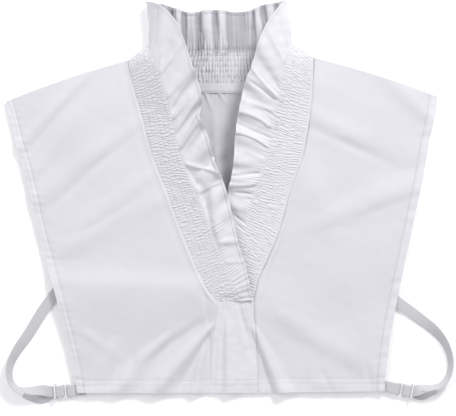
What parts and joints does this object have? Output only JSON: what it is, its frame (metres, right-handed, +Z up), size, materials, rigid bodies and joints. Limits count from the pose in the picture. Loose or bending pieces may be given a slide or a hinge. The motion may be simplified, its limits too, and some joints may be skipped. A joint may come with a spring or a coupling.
{
  "type": "detachable ruffled false collar",
  "caption": "Sleeveless false collar laid flat, front up: open V neck with a shirred stand collar and wide ruffle, gathered placket and an adjustable elastic strap at each side.",
  "frame": {"origin": "Centre of the bounding box in plan, on the surface the garment lies on (the underside of the back panel).", "axes": "+X across the garment to the right as seen from above (the wearer's left side), +Y from the hem to the collar, +Z up from the surface."},
  "size_m": [0.4276, 0.3842, 0.031],
  "materials": {
    "poplin": "matte white cotton-blend poplin",
    "elastic": "smooth white elastic with a faint rib and a low sheen",
    "clear_plastic": "white, slightly translucent moulded plastic"
  },
  "bodies": {
    "root": {"back_panel": "poplin", "collar_back": "poplin", "collar_left": "poplin", "collar_right": "poplin", "connector_left": "clear_plastic", "connector_right": "clear_plastic", "front_left": "poplin", "front_right": "poplin", "neck_binding": "poplin", "placket": "poplin", "slider_left": "clear_plastic", "slider_right": "clear_plastic", "strap_left": "elastic", "strap_right": "elastic", "strap_tab_left": "elastic", "strap_tab_right": "elastic"}
  },
  "joints": []
}
